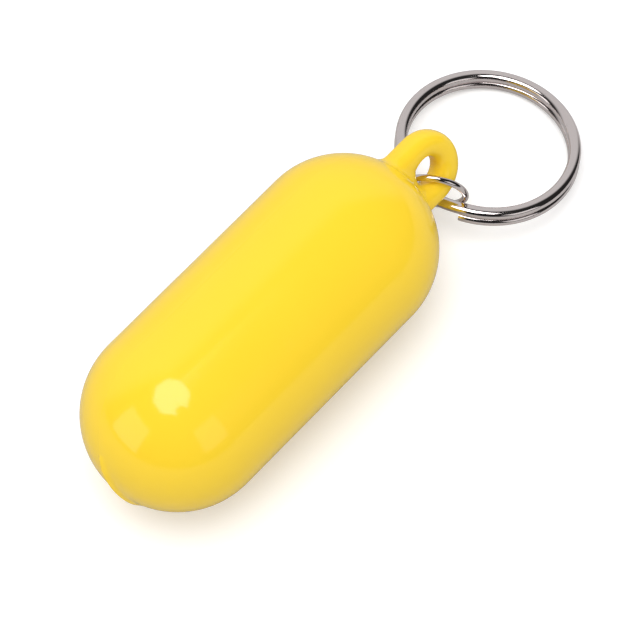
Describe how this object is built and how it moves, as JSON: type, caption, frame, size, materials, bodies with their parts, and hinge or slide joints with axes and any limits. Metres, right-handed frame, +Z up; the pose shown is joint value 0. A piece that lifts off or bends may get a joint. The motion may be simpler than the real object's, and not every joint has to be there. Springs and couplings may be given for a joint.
{
  "type": "floating keychain",
  "caption": "Capsule-shaped floating keychain in glossy yellow plastic, with a moulded eye, a jump ring and a flattened split key ring.",
  "frame": {"origin": "bottom centre of the whole part's bounding box, on the surface that the keychain lies on", "axes": "+X along the float's axis, from its closed end towards its eye and the key ring; +Z up; +Y to the left when looking from the float towards the key ring"},
  "size_m": [0.0842, 0.0264, 0.025],
  "materials": {
    "yellow_plastic": "glossy bright yellow blow-moulded plastic",
    "nickel_wire": "bright nickel-plated spring steel wire"
  },
  "bodies": {
    "float": {"float_body": "yellow_plastic"},
    "jump_ring": {"jump_ring": "nickel_wire"},
    "split_ring": {"split_ring": "nickel_wire"}
  },
  "joints": [
    {"name": "jump_ring_turn", "type": "hinge", "parent": "float", "child": "jump_ring", "pos_m": [0.01799, -0.0012, 0.01212], "axis": [0, 0, 1], "range_deg": [-40, 2]},
    {"name": "split_ring_lift", "type": "hinge", "parent": "jump_ring", "child": "split_ring", "pos_m": [0.01821, -0.00097, 0.00586], "axis": [0.0388, -0.997, 0.0677], "range_deg": [0, 95]}
  ]
}
